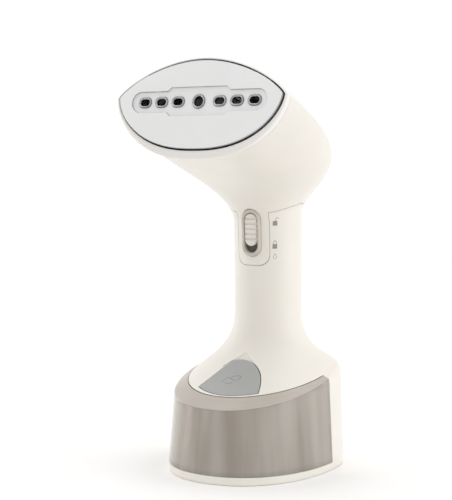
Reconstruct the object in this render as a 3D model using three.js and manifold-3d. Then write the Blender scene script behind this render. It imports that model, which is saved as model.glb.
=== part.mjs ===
// Hand-held garment steamer: a horn-shaped head with a lens-shaped steam plate, a round handle
// that flares into the base, and a translucent water tank that wraps the front of the base.
// Millimetres, +Z up, the steam plate faces -Y. The origin is on the floor under the middle of
// the object's box; the handle's axis stands HANDLE_Y behind it.
import * as THREE from "three";
import { mergeVertices } from "three/addons/utils/BufferGeometryUtils.js";
import Module from "manifold-3d";

const wasm = await Module();
wasm.setup();

// ---------- driving dimensions ----------
const HANDLE_Y = 27.3; // handle axis, from the origin
const FLOOR_GAP = 1.2; // the feet hold the base this far off the floor
const BAND_TOP = 7.0; // top of the base band under the tank
const GAP = 0.3; // running clearance between neighbouring pieces
const WALL = 2.4; // moulded wall of the housing
const TANK_WALL = 2.2; // moulded wall of the tank
const PLATE = { y: -96.6, z: 258.2, lean: 11.6, half: 62, up: 24.1, down: 35.1 };
const LENS = { pt: 1.9, qt: 0.81, pb: 2.38, qb: 0.6 }; // powers of the lens outline
const ROUND = { pt: 2, qt: 0.5, pb: 2, qb: 0.5 }; // powers of a circle or ellipse
const SQUARISH = { pt: 2.2, qt: 1 / 2.2, pb: 2.2, qb: 1 / 2.2 }; // powers of the base outline
const BEZEL_DEPTH = 8.0; // bezel to head seam, behind the plate's face
const HOLE_ROW = -3.3; // row of steam holes, from the plate's tip line
const HOLE_PLACES = [-41.6, -28.7, -15.8, 0, 15.8, 28.7, 41.6];
const SEAM = 0.12; // where the head shell ends, along the head's sweep
const SPLIT_Y = -12.0; // the tank's rear face, from the handle axis
const TANK_TOP = 51.0; // flat top of the tank under the flared skirt
const SWITCH = { z: 165.6, width: 14, height: 33.6, slotWidth: 10.4, slotHeight: 28.2, y: -24.4, tilt: 2.6 };
const FILLER = { y: -50.6, z: 67.6, slope: 33.5, bottomHalf: 22.5, topHalf: 9, low: -12, high: 15, bow: 6 };
const SIDES = 28; // points round a shell section
const ROUND_SIDES = 12; // points round a turned piece

// ---------- colours ----------
const finish = (color, roughness, metalness = 0, extra = {}) =>
  new THREE.MeshStandardMaterial({ color, roughness, metalness, ...extra });
const ivory = () => finish(0xf1ece4, 0.42);
const bezelWhite = () => finish(0xf3f1ee, 0.4);
const plateGrey = () => finish(0xdcdcdc, 0.35, 0.3);
const eyeletSteel = () => finish(0x8d8f91, 0.25, 0.9);
const smokedTank = () => finish(0xa79d8f, 0.15, 0, { transparent: true, opacity: 0.7 });
const warmGrey = () => finish(0xb9b2a6, 0.35);
const coolGrey = () => finish(0xacadab, 0.45);
const blackRubber = () => finish(0x222222, 0.8);
const paleRubber = () => finish(0xd9d4ca, 0.8);
const aluminium = () => finish(0xb8babd, 0.45, 0.9);
const steel = () => finish(0x9a9da0, 0.3, 0.95);
const brass = () => finish(0xb5913f, 0.35, 0.9);
const darkPlastic = () => finish(0x2b2c2e, 0.55);
const whitePlastic = () => finish(0xe9e7e2, 0.5);
const boardGreen = () => finish(0x2f6b43, 0.6);
const clearTube = () => finish(0xd5dbdc, 0.3);
const copper = () => finish(0xb06a35, 0.4, 0.8);

// ---------- solids ----------
const rad = THREE.MathUtils.degToRad;

function solid(geometry, matrix) {
  const bare = geometry.clone();
  if (matrix) bare.applyMatrix4(matrix);
  for (const name of Object.keys(bare.attributes)) if (name !== "position") bare.deleteAttribute(name);
  const merged = mergeVertices(bare, 1e-4);
  return new wasm.Manifold(new wasm.Mesh({
    numProp: 3,
    vertProperties: new Float32Array(merged.attributes.position.array),
    triVerts: new Uint32Array(merged.index.array),
  }));
}

function geometryOf(body) {
  const mesh = body.getMesh();
  const geometry = new THREE.BufferGeometry();
  geometry.setAttribute("position", new THREE.BufferAttribute(mesh.vertProperties.slice(), 3));
  geometry.setIndex(new THREE.BufferAttribute(mesh.triVerts.slice(), 1));
  geometry.computeVertexNormals();
  return geometry;
}

// closed skin through a list of rings, flat at both ends
function loft(rings) {
  const sides = rings[0].length;
  const last = (rings.length - 1) * sides;
  const points = rings.flat();
  const middle = (ring) => ring.reduce((sum, p) => sum.add(p), new THREE.Vector3()).divideScalar(sides);
  points.push(middle(rings[0]), middle(rings[rings.length - 1]));
  const faces = [];
  for (let i = 0; i < rings.length - 1; i++) {
    for (let j = 0; j < sides; j++) {
      const a = i * sides + j;
      const b = i * sides + ((j + 1) % sides);
      faces.push(a, b, b + sides, a, b + sides, a + sides);
    }
  }
  for (let j = 0; j < sides; j++) {
    const next = (j + 1) % sides;
    faces.push(points.length - 2, next, j, points.length - 1, last + j, last + next);
  }
  const geometry = new THREE.BufferGeometry();
  geometry.setAttribute("position", new THREE.Float32BufferAttribute(points.flatMap((p) => [p.x, p.y, p.z]), 3));
  geometry.setIndex(faces);
  return geometry;
}

// one section: front and back are its ends in the YZ plane, half its half-width across X,
// split the share of its depth that lies in front of its widest line
function section(front, back, half, split, form, inset = 0, sides = SIDES) {
  const axis = new THREE.Vector2().subVectors(back, front);
  const depth = axis.length();
  axis.normalize();
  const low = depth * split - inset;
  const high = depth * (1 - split) - inset;
  const centre = front.clone().addScaledVector(axis, depth * split);
  const ring = [];
  for (let i = 0; i < sides; i++) {
    const angle = (2 * Math.PI * i) / sides;
    const across = Math.cos(angle);
    const reach = Math.abs(across);
    const v = Math.sin(angle) >= 0
      ? high * Math.max(0, 1 - reach ** form.pt) ** form.qt
      : -low * Math.max(0, 1 - reach ** form.pb) ** form.qb;
    ring.push(new THREE.Vector3((half - inset) * across, centre.x + axis.x * v, centre.y + axis.y * v));
  }
  return ring;
}

const mix = (a, b, t) => a + (b - a) * t;
const mixForm = (a, b, t) => Object.fromEntries(Object.keys(a).map((key) => [key, mix(a[key], b[key], t)]));
const bezier = (a, b, c, d, t) =>
  a * (1 - t) ** 3 + 3 * b * t * (1 - t) ** 2 + 3 * c * t * t * (1 - t) + d * t ** 3;
const point = (y, z) => new THREE.Vector2(y, z);
const curve = (a, b, c, d) => new THREE.CubicBezierCurve(a, b, c, d);

// a box from its two corners
function block(x0, x1, y0, y1, z0, z1) {
  return new THREE.BoxGeometry(x1 - x0, y1 - y0, z1 - z0)
    .translate((x0 + x1) / 2, (y0 + y1) / 2, (z0 + z1) / 2);
}

// a turned piece from its half profile [radius, height], about Z
function turned(profile, sides = ROUND_SIDES) {
  return new THREE.LatheGeometry(profile.map(([r, h]) => new THREE.Vector2(r, h)), sides).rotateX(Math.PI / 2);
}

const rod = (radius, z0, z1, sides) => turned([[0, z0], [radius, z0], [radius, z1], [0, z1]], sides);
const sleeve = (outer, inner, z0, z1, sides) =>
  turned([[inner, z0], [outer, z0], [outer, z1], [inner, z1], [inner, z0]], sides);

function extruded(shape, depth, z0 = 0, segments = 12) {
  return new THREE.ExtrudeGeometry(shape, { depth, bevelEnabled: false, curveSegments: segments }).translate(0, 0, z0);
}

// a slot-shaped outline, long along Y, with round ends
function stadium(width, height) {
  const r = width / 2;
  const straight = height / 2 - r;
  const shape = new THREE.Shape();
  shape.moveTo(r, -straight);
  shape.lineTo(r, straight);
  shape.absarc(0, straight, r, 0, Math.PI, false);
  shape.lineTo(-r, -straight);
  shape.absarc(0, -straight, r, Math.PI, 2 * Math.PI, false);
  return shape;
}

// the lens outline of the plate, made larger by grow
function lens(grow, form = LENS, half = PLATE.half, up = PLATE.up, down = PLATE.down, sides = 36) {
  const ring = section(point(-down - grow, 0), point(up + grow, 0), half + grow,
    (down + grow) / (up + down + 2 * grow), form, 0, sides);
  return new THREE.Shape(ring.map((p) => new THREE.Vector2(p.x, p.y)));
}

// a round tube or wire along a path
function tube(points, radius, steps, sides = 8) {
  const circle = new THREE.Shape();
  for (let i = 0; i < sides; i++) {
    const angle = (2 * Math.PI * i) / sides;
    const place = [radius * Math.cos(angle), radius * Math.sin(angle)];
    if (i === 0) circle.moveTo(...place);
    else circle.lineTo(...place);
  }
  const path = new THREE.CatmullRomCurve3(points.map((p) => new THREE.Vector3(...p)));
  return new THREE.ExtrudeGeometry(circle, { steps, bevelEnabled: false, extrudePath: path });
}

// a compression spring about Z with closed-looking ends
function spring(radius, wire, length, turns) {
  const points = [];
  const perTurn = 8;
  for (let i = 0; i <= turns * perTurn; i++) {
    const angle = (2 * Math.PI * i) / perTurn;
    points.push([radius * Math.cos(angle), radius * Math.sin(angle), wire + ((length - 2 * wire) * i) / (turns * perTurn)]);
  }
  return tube(points, wire, turns * perTurn, 5);
}

// ---------- groups ----------
const steamer = new THREE.Group();
steamer.position.y = HANDLE_Y;

const plateGroup = new THREE.Group(); // local +Z leaves the steam plate, local +Y runs up it
plateGroup.position.set(0, PLATE.y, PLATE.z);
plateGroup.rotation.x = rad(90 - PLATE.lean);
plateGroup.updateMatrix();

const switchGroup = new THREE.Group(); // local +Z leaves the handle's front, local +Y runs up it
switchGroup.position.set(0, SWITCH.y, SWITCH.z);
switchGroup.rotation.x = rad(90 + SWITCH.tilt);
switchGroup.updateMatrix();

const fillerGroup = new THREE.Group(); // local +Z leaves the flap, local +Y runs up the slope
fillerGroup.position.set(0, FILLER.y, FILLER.z);
fillerGroup.rotation.x = rad(FILLER.slope);
fillerGroup.updateMatrix();

steamer.add(plateGroup, switchGroup, fillerGroup);

function add(name, body, material, parent = steamer) {
  const geometry = body.isBufferGeometry ? body : geometryOf(body);
  const mesh = new THREE.Mesh(geometry, material);
  mesh.name = name;
  parent.add(mesh);
  return mesh;
}

// ---------- sweep of the head: front curve, back curve and width ----------
const lean = rad(PLATE.lean);
const plateUp = point(Math.sin(lean), Math.cos(lean));
const plateOut = point(-Math.cos(lean), Math.sin(lean));
const onPlate = (v, depth) => point(PLATE.y, PLATE.z).addScaledVector(plateUp, v).addScaledVector(plateOut, -depth);
const HEAD_END = { half: 63.6, up: 25.9, down: 39.9 };
const NECK = { frontY: -25, frontZ: 171.5, backY: 24.2, backZ: 182.4, half: 24.3 };
const headFront = curve(point(NECK.frontY, NECK.frontZ), point(-27.1, 192.7), point(-38.5, 201.1),
  onPlate(-HEAD_END.down, BEZEL_DEPTH + GAP));
const headBack = curve(point(NECK.backY, NECK.backZ), point(21.8, 200.6), point(52.4, 223.9),
  onPlate(HEAD_END.up, BEZEL_DEPTH + GAP));
const headHalf = (s) => bezier(NECK.half, 27.1, 76, HEAD_END.half, s);

function headSection(s, inset) {
  const ease = s * s * (3 - 2 * s);
  const split = mix(0.5, HEAD_END.down / (HEAD_END.down + HEAD_END.up), s);
  return section(headFront.getPoint(s), headBack.getPoint(s), headHalf(s), split, mixForm(ROUND, LENS, ease), inset);
}

function headSolid(from, to, steps, inset) {
  return solid(loft(Array.from({ length: steps + 1 }, (_, i) => headSection(mix(from, to, i / steps), inset))));
}

// ---------- sweep of the base, flare and handle ----------
const FLARE_TOP = { y: 0, z: 108.5, half: 24, front: 23.5, back: 24 };
const RIM = { y: -6, z: 67.6, half: 50.6, front: 63.9, back: 50.0, slope: 0.18 };
const CREST = { y: -6.9, z: 65.2, half: 55.2, front: 76.6, back: 51.7, slope: 0.2 };
const FOOT = { y: -8.3, half: 58.5, front: 81, back: 53.6 };

// a section whose plane rises by slope towards the back
function tilted({ y, z, half, front, back, slope = 0 }, form, inset) {
  return section(point(y - front, z - slope * front), point(y + back, z + slope * back), half,
    front / (front + back), form, inset);
}

function wallSections(inset, bottom) {
  const foot = tilted({ ...FOOT, z: bottom }, SQUARISH, inset);
  const crest = tilted(CREST, SQUARISH, inset);
  return [foot, crest];
}

function flareSections(inset, steps) {
  return Array.from({ length: steps + 1 }, (_, i) => {
    const t = 1 - i / steps;
    return tilted({
      y: bezier(0, 0, -3, RIM.y, t),
      z: bezier(FLARE_TOP.z, 83.9, 76.2, RIM.z, t),
      half: bezier(FLARE_TOP.half, 24.1, 41.2, RIM.half, t),
      front: bezier(FLARE_TOP.front, 23, 31.6, RIM.front, t),
      back: bezier(FLARE_TOP.back, 26.3, 45.8, RIM.back, t),
      slope: bezier(0, 0, RIM.slope / 2, RIM.slope, t),
    }, ROUND, inset);
  });
}

function handleSections(inset, steps) {
  return Array.from({ length: steps }, (_, i) => {
    const t = (i + 1) / (steps + 1);
    const front = point(mix(-FLARE_TOP.front, NECK.frontY, t ** 3), mix(FLARE_TOP.z, NECK.frontZ, t));
    const back = point(mix(FLARE_TOP.back, NECK.backY, t), mix(FLARE_TOP.z, NECK.backZ, t));
    return section(front, back, mix(FLARE_TOP.half, NECK.half, t), 0.5, ROUND, inset);
  });
}

function neckSections(inset, top, steps) {
  return Array.from({ length: steps + 1 }, (_, i) => headSection((top * i) / steps, inset));
}

const flareSteps = 8;
const housingOutside = () => solid(loft([...wallSections(0, FLOOR_GAP), ...flareSections(0, flareSteps),
  ...handleSections(0, 4), ...neckSections(0, SEAM, 2)]));
const housingMiddle = () => solid(loft([...wallSections(WALL / 2, 0), ...flareSections(WALL / 2, flareSteps)]));
const housingInside = () => solid(loft([...wallSections(WALL, -5), ...flareSections(WALL, flareSteps),
  ...handleSections(WALL, 4), ...neckSections(WALL, SEAM + 0.05, 2)]));
const skirtOutside = () => solid(loft([...flareSections(0, flareSteps), ...handleSections(0, 1)]));
const box = (...corners) => solid(block(...corners));

// prisms that cut through the handle's front and the skirt
const tongueOutline = (grow) => {
  const half = 12.4 + grow;
  const low = -23 - grow; // the tongue's flat foot
  const shape = new THREE.Shape();
  shape.moveTo(half, 40);
  shape.lineTo(-half, 40);
  shape.lineTo(-half, low + 9);
  shape.quadraticCurveTo(-half, low, 0, low);
  shape.quadraticCurveTo(half, low, half, low + 9);
  shape.lineTo(half, 40);
  return shape;
};
const tonguePrism = (grow) => solid(extruded(tongueOutline(grow), 20, -9), switchGroup.matrix);
const switchHole = () => solid(extruded(stadium(SWITCH.width - 1.4, SWITCH.height - 1.4), 30, -15), switchGroup.matrix)
  .add(solid(extruded(stadium(SWITCH.width + 2 * GAP, SWITCH.height + 2 * GAP), 20, 0.6), switchGroup.matrix));

function flapOutline(grow) {
  const half = FILLER.bottomHalf + grow;
  const top = FILLER.topHalf + grow;
  const low = FILLER.low - grow;
  const high = FILLER.high + grow;
  const shape = new THREE.Shape();
  shape.moveTo(-half, low);
  shape.quadraticCurveTo(0, low - 2 * FILLER.bow, half, low);
  shape.quadraticCurveTo(half - 5, high - 12, top, high);
  shape.quadraticCurveTo(0, high + 4, -top, high);
  shape.quadraticCurveTo(-half + 5, high - 12, -half, low);
  return shape;
}
const flapPrism = (grow) => solid(extruded(flapOutline(grow), 30, -15, 6), fillerGroup.matrix);

// ---------- housing: handle, flare and base in one moulding ----------
const POWER = { z: 150, radius: 8.5 };
const GLAND = { z: 17, radius: 7 };
const VALVE = { z: 20, radius: 7 };

function alongY(geometry, y, z, x = 0) {
  return geometry.rotateX(-Math.PI / 2).translate(x, y, z); // local +Z becomes world +Y
}

function buildHousing() {
  const inside = housingInside();
  const core = housingMiddle();
  const bayWall = box(-70, 70, SPLIT_Y, SPLIT_Y + WALL, BAND_TOP - 3, 64).intersect(core);
  const tray = box(-70, 70, -95, SPLIT_Y + WALL, BAND_TOP - 2, BAND_TOP).intersect(core);
  const bay = box(-75, 75, -100, SPLIT_Y, BAND_TOP, 95).subtract(skirtOutside());
  const powerHole = solid(alongY(rod(POWER.radius + GAP, 0, 20), 12, POWER.z));
  const glandHole = solid(alongY(rod(GLAND.radius + GAP, 0, 30), 30, GLAND.z));
  const spigotHole = solid(alongY(rod(VALVE.radius - 1.7, 0, 10), SPLIT_Y - 3, VALVE.z));
  const hoop = housingOutside().subtract(inside);
  const housing = hoop.subtract(bay).add(bayWall).add(tray)
    .subtract(tonguePrism(GAP)).subtract(powerHole).subtract(glandHole).subtract(spigotHole)
    .subtract(flapPrism(GAP));
  add("handle_shell", housing, ivory());
}

// ---------- head shell with the tongue that carries the switch ----------
function buildHead() {
  const handleWall = solid(loft([...handleSections(0, 5), ...neckSections(0, SEAM + 0.02, 3)]))
    .subtract(solid(loft([...handleSections(WALL, 5), ...neckSections(WALL, SEAM + 0.1, 3)])));
  const tongue = handleWall.intersect(tonguePrism(0));
  const start = SEAM + 0.006;
  const horn = headSolid(start, 1, 10, 0).subtract(headSolid(start - 0.04, 1.02, 10, WALL));
  add("head_shell", horn.add(tongue).subtract(switchHole()), ivory());
}

// ---------- bezel, steam plate and its eyelets ----------
function plateRing(half, up, down, depth, sides = 36) {
  return section(point(-down, -depth), point(up, -depth), half, down / (up + down), LENS, 0, sides);
}

function buildFace() {
  const outside = solid(loft([
    plateRing(HEAD_END.half, HEAD_END.up, HEAD_END.down, BEZEL_DEPTH),
    plateRing(65, 26.6, 41.4, 4.4), plateRing(65, 26.4, 41.6, 2.6), plateRing(63.6, 25.5, 38.6, 0.9),
  ]));
  const hole = solid(extruded(lens(0.9), 30, -20));
  add("face_bezel", outside.subtract(hole), bezelWhite(), plateGroup);

  const shieldOut = solid(extruded(lens(0.6), 4, -7));
  const shieldIn = solid(extruded(lens(-3), 20, -15));
  add("heat_shield", shieldOut.subtract(shieldIn), blackRubber(), plateGroup);

  const recess = solid(extruded(stadium(13.4, 102), 3, -1, 6).rotateZ(Math.PI / 2).translate(0, HOLE_ROW, 0))
    .add(solid(block(-21.4, 21.4, HOLE_ROW - 9.4, HOLE_ROW + 9.4, -1, 2)));
  let plate = solid(extruded(lens(0), 2.6, -2.6)).subtract(recess);
  HOLE_PLACES.forEach((x, i) => {
    const round = x === 0;
    const width = round ? 9.4 : 7;
    const length = round ? 9.4 + 0.02 : 9.8;
    const place = (geometry) => geometry.rotateZ(Math.PI / 2).translate(x, HOLE_ROW, 0);
    plate = plate.subtract(solid(place(extruded(stadium(width + 2 * GAP, length + 2 * GAP), 10, -6, 4))));
    const ring = solid(place(extruded(stadium(width, length), 2.6, -2.9, 4)))
      .subtract(solid(place(extruded(stadium(width - 3, length - 3), 10, -6, 4))));
    add(`steam_eyelet_${i + 1}`, ring, eyeletSteel(), plateGroup);
  });
  add("soleplate", plate, plateGrey(), plateGroup);
}

// ---------- steam chamber behind the plate ----------
function buildChamber() {
  const room = headSolid(0.3, 1.1, 14, WALL + 1.5);
  const toLocal = plateGroup.matrix.clone().invert();
  const local = (body) => solid(geometryOf(body), toLocal);
  const roomLocal = local(room);
  const body = solid(extruded(lens(-8), 14, -22)).intersect(roomLocal);
  const pocket = solid(extruded(lens(-12), 7, -29 + 14));
  add("steam_chamber", body.subtract(pocket), aluminium(), plateGroup);
  const cover = solid(extruded(lens(-9), 2.4, -24.7)).intersect(roomLocal)
    .subtract(solid(rod(3, -30, -20).translate(0, -14, 0)));
  add("chamber_cover", cover, aluminium(), plateGroup);
  add("thermostat", rod(8, -31, -25, 16).translate(-17, -6, 0), whitePlastic(), plateGroup);
  add("thermal_fuse", block(8, 30, -6, -1, -29.5, -25), whitePlastic(), plateGroup);
  const element = [[-34, -4], [-20, 3], [0, 5.5], [20, 3], [34, -4]].map(([x, y]) => [x, y, -11.6]);
  add("heating_element", tube(element, 2.6, 16, 10), steel(), plateGroup);
  add("hose_barb", sleeve(2.7, 1.3, -36, -24, 12).translate(0, -14, 0), brass(), plateGroup);
}

// ---------- hose and wires up the handle ----------
function buildHoses() {
  const barbEnd = new THREE.Vector3(0, -14, -36.4).applyMatrix4(plateGroup.matrix);
  add("water_hose", tube([[6, 14, 58], [7, 10, 80], [9, 8, 110], [9, 8, 140], [9, 4, 170], [7, -8, 190],
    [3, -28, 213], [barbEnd.x, barbEnd.y + 8, barbEnd.z - 2.5], [barbEnd.x, barbEnd.y, barbEnd.z]], 2.6, 28, 8), clearTube());
  add("wire_loom", tube([[-8, 26, 58], [-10, 12, 80], [-11, 8, 110], [-11, 8, 140], [-11, 4, 170],
    [-11, -2, 196], [-12, -18, 214], [-14, -34, 226]], 3, 24, 8), darkPlastic());
}

// ---------- steam trigger with its lock slide ----------
const SLIDER = { width: 9.4, height: 22.9, travel: 4.3 };
function buildSwitch() {
  const { width, height, slotWidth, slotHeight } = SWITCH;
  const collar = solid(extruded(stadium(width, height), 1.2, 0.9, 7))
    .add(solid(extruded(stadium(width - 2, height - 2), 6, -4.6, 7)))
    .subtract(solid(extruded(stadium(slotWidth, slotHeight), 20, -8, 7)));
  add("switch_frame", collar, warmGrey(), switchGroup);
  const tray = solid(extruded(stadium(slotWidth - 2 * GAP, slotHeight - 2 * GAP), 4.5, -5.6, 10))
    .add(solid(block(-3, 3, -6, 6, -9.6, -5.6)));
  add("steam_trigger", tray, darkPlastic(), switchGroup);
  const top = slotHeight / 2 - 0.5;
  let slider = solid(extruded(stadium(SLIDER.width, SLIDER.height), 2.6, -0.8, 8).translate(0, top - SLIDER.height / 2, 0));
  for (let i = 0; i < 5; i++) {
    const y = top - 3.7 - i * 3.57;
    slider = slider.subtract(solid(block(-3.6, 3.6, y - 0.7, y + 0.7, 0.9, 3)));
  }
  add("lock_slider", slider, warmGrey(), switchGroup);
  add("trigger_spring", spring(3.2, 0.4, 7, 4).translate(0, 9.5, -12.9), steel(), switchGroup);
  const trigSwitch = solid(block(-5, 5, -8, 8, -19.5, -13.2)).add(solid(block(-1.5, 1.5, -2, 2, -13.3, -12.4)));
  add("trigger_switch", trigSwitch, darkPlastic(), switchGroup);
}

// ---------- power button on the back of the handle ----------
function buildPower() {
  const y = 17.2;
  add("power_button", alongY(turned([[0, 0], [10.2, 0], [10.2, 1.4], [POWER.radius, 1.4],
    [POWER.radius, 7.2], [POWER.radius - 0.8, 8], [2.6, 8], [2.6, 7], [0, 7]], 16), y, POWER.z), warmGrey());
  add("button_lens", alongY(rod(2.2, 7.3, 8.1, 12), y, POWER.z), clearTube());
  add("power_switch", block(-4, 4, 8, 15.6, POWER.z - 5, POWER.z + 5), darkPlastic());
}

// ---------- base: pump, board, gland, bottom plate, feet and screws ----------
const PUMP = { x: 0, y: 17, z: 14, radius: 11 };
function buildPump() {
  const at = (geometry) => geometry.translate(PUMP.x, PUMP.y, PUMP.z);
  add("pump_body", at(turned([[0, 0], [9, 0], [9, 10], [6.2, 10], [6.2, 38], [5.2, 38], [5.2, 12], [0, 12]])), whitePlastic());
  add("pump_coil", at(sleeve(PUMP.radius, 6.5, 11, 32, 16)), copper());
  add("pump_plunger", at(rod(4.8, 16, 34, 16)), steel());
  add("pump_spring", at(spring(3.6, 0.4, 3.4, 2).translate(0, 0, 12.3)), steel());
  add("pump_cap", at(turned([[0, 38.3], [7, 38.3], [7, 41], [2.6, 41], [2.6, 45], [0, 45]])), whitePlastic());
}

function buildBase() {
  const outline = tilted({ ...FOOT, z: 0 }, SQUARISH, WALL + 3 * GAP);
  const shape = new THREE.Shape(outline.map((p) => new THREE.Vector2(p.x, p.y)));
  let bottom = solid(extruded(shape, 1.8, FLOOR_GAP + 0.4));
  const corners = [[-34, -56], [34, -56], [-34, 22], [34, 22]];
  corners.forEach(([x, y], i) => {
    bottom = bottom.subtract(solid(rod(3.4, 0, 4, 8).translate(x, y, 0)));
    add(`base_screw_${i + 1}`, turned([[0, 1.7], [3, 1.7], [3, 2.6], [1.3, 2.6], [1.3, 4.4], [0, 4.4]], 8)
      .translate(x, y, 0), steel());
  });
  const feet = [[-26, -70], [26, -70], [-26, 29], [26, 29]];
  feet.forEach(([x, y], i) => {
    bottom = bottom.subtract(solid(rod(4.3, 0, 2.4, 12).translate(x, y, 0)));
    add(`foot_${i + 1}`, rod(4, 0, 2.1, 12).translate(x, y, 0), paleRubber());
  });
  add("bottom_plate", bottom, ivory());
  add("control_board", block(-24, 24, 32, 33.6, 10, 50), boardGreen());
  add("cord_gland", alongY(turned([[2.9, 0], [10, 0], [10, 3], [GLAND.radius, 3], [GLAND.radius, 8.6], [5.2, 11],
    [2.9, 11], [2.9, 0]]), 38.4, GLAND.z), whitePlastic());
  const spigotY = SPLIT_Y - 6.1;
  add("tank_spigot", alongY(turned([[2, 0], [4.6, 0], [4.6, 1.2], [3.5, 1.2], [3.5, 3.4], [4.6, 3.4], [4.6, 14.1],
    [2, 14.1], [2, 0]]), spigotY, VALVE.z), whitePlastic());
  add("spigot_seal", alongY(sleeve(4.95, 3.75, 1.5, 3.1), spigotY, VALVE.z), blackRubber());
  add("inlet_hose", tube([[0, -3.6, VALVE.z], [0, -1, VALVE.z], [0, 4, VALVE.z - 2], [0, 8, 8], [0, 13, 5.6], [0, 17, 8], [0, 17, 10.8]],
    2.2, 16, 8), clearTube());
}

// ---------- water tank with its valve and suction line ----------
function rimColumn(grow, z0, z1) {
  const at = (z) => tilted({ ...RIM, z, half: RIM.half + grow, front: RIM.front + grow, back: 90, slope: 0 }, ROUND, 0);
  return solid(loft([at(z0), at(z1)]));
}

const FILL_HOLE = { y: -47, radius: 9 };
function buildTank() {
  const shell = (inset, y, z0) => solid(loft([...wallSections(inset, 0),
    ...flareSections(inset, flareSteps).slice(0, 1)])).intersect(box(-80, 80, -120, y, z0, 100));
  const outer = shell(0, SPLIT_Y - GAP, BAND_TOP + GAP).subtract(rimColumn(GAP, TANK_TOP, 110));
  const inner = shell(TANK_WALL, SPLIT_Y - GAP - TANK_WALL, BAND_TOP + GAP + TANK_WALL)
    .subtract(rimColumn(GAP + TANK_WALL, TANK_TOP - TANK_WALL, 110));
  const fill = solid(rod(FILL_HOLE.radius, TANK_TOP - 5, TANK_TOP + 5).translate(0, FILL_HOLE.y, 0));
  const valveHole = solid(alongY(rod(VALVE.radius + GAP, 0, 10), SPLIT_Y - 6, VALVE.z));
  add("water_tank", outer.subtract(inner).subtract(fill).subtract(valveHole), smokedTank());

  const y = SPLIT_Y - GAP - TANK_WALL;
  add("tank_valve", alongY(turned([[5.2, 1.9], [5.2, -5], [2.2, -5], [2.2, -6.4], [5.2, -6.4], [5.2, -12.6],
    [2.2, -12.6], [2.2, -14], [6.9, -14], [6.9, -2.2], [10, -2.2], [10, -0.4], [6.9, -0.4], [6.9, 1.9],
    [5.2, 1.9]]), y, VALVE.z), whitePlastic());
  add("valve_poppet", alongY(turned([[0, -8.6], [4.2, -8.6], [4.2, -6.8], [1.5, -6.8], [1.5, -4.4], [0, -4.4]]),
    y, VALVE.z), blackRubber());
  add("valve_spring", alongY(spring(3, 0.35, 3.3, 2), y - 12.3, VALVE.z), steel());
  add("suction_tube", tube([[0, y - 14.3, VALVE.z], [0, y - 20, VALVE.z - 0.6], [0, y - 28, 16.4],
    [0, y - 35, 14.8], [0, y - 40, 14.4]], 1.9, 12, 8), clearTube());
  add("suction_filter", alongY(rod(4.4, -12, 0, 14), y - 40.4, 14.4), steel());
}

// ---------- filler flap with its seal, and the funnel under it ----------
function buildFiller() {
  const skin = skirtOutside().subtract(solid(loft([...flareSections(2, flareSteps), ...handleSections(2, 2)])));
  add("filler_flap", skin.intersect(flapPrism(-GAP)), coolGrey());
  add("flap_seal", sleeve(8, 5.6, -5.4, -2.8).translate(0, -1, 0), blackRubber(), fillerGroup);
  const below = solid(loft([...flareSections(7, flareSteps), ...handleSections(7, 2)]))
    .add(solid(loft([tilted({ ...RIM, z: TANK_TOP, slope: 0 }, ROUND, 7), tilted(RIM, ROUND, 7)])));
  const funnel = solid(turned([[9, 0], [9, 4], [15, 14], [15, 18], [13.2, 18], [13.2, 14.6], [7.4, 4.4], [7.4, 0], [9, 0]])
    .translate(0, FILL_HOLE.y, TANK_TOP + 0.5)).intersect(below);
  add("filler_funnel", funnel, whitePlastic());
  add("funnel_seal", sleeve(11.4, 9.3, TANK_TOP + GAP, TANK_TOP + 2.3).translate(0, FILL_HOLE.y, 0), blackRubber());
}

buildHousing();
buildHead();
buildFace();
buildChamber();
buildHoses();
buildSwitch();
buildPower();
buildPump();
buildBase();
buildTank();
buildFiller();

export default steamer;
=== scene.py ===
import math

import bpy
from mathutils import Matrix, Vector


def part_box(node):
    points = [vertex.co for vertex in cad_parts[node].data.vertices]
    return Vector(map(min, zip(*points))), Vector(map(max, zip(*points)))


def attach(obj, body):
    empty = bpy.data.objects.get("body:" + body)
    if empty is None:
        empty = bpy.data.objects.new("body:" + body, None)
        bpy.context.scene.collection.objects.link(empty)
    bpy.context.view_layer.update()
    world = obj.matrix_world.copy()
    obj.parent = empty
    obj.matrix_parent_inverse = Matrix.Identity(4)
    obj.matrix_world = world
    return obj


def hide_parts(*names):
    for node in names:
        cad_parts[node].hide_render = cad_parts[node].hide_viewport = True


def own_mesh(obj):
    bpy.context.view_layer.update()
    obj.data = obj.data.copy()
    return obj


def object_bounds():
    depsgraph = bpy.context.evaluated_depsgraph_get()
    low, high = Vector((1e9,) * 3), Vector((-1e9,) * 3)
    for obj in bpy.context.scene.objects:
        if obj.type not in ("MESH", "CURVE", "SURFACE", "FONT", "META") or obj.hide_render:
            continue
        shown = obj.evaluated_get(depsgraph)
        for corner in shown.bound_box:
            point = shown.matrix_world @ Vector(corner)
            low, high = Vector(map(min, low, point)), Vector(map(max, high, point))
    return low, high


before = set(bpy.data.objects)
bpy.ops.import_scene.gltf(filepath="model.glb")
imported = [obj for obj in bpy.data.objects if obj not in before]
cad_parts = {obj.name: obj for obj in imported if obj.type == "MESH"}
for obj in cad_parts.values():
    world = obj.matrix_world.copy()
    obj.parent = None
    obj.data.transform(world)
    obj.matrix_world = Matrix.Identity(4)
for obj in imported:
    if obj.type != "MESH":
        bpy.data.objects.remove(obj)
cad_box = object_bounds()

# ------------------------------------------------------------------------------------------
# Camera, floor and studio light. The steamer stands on a pale seamless floor in a white room,
# seen from its front left and a little above its middle, between two large soft boxes.
# ------------------------------------------------------------------------------------------
mm = 0.001
handle_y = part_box("handle_shell")[1].y - 45.3 * mm  # the rear wall stands 45.3 mm behind the handle's axis

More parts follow.
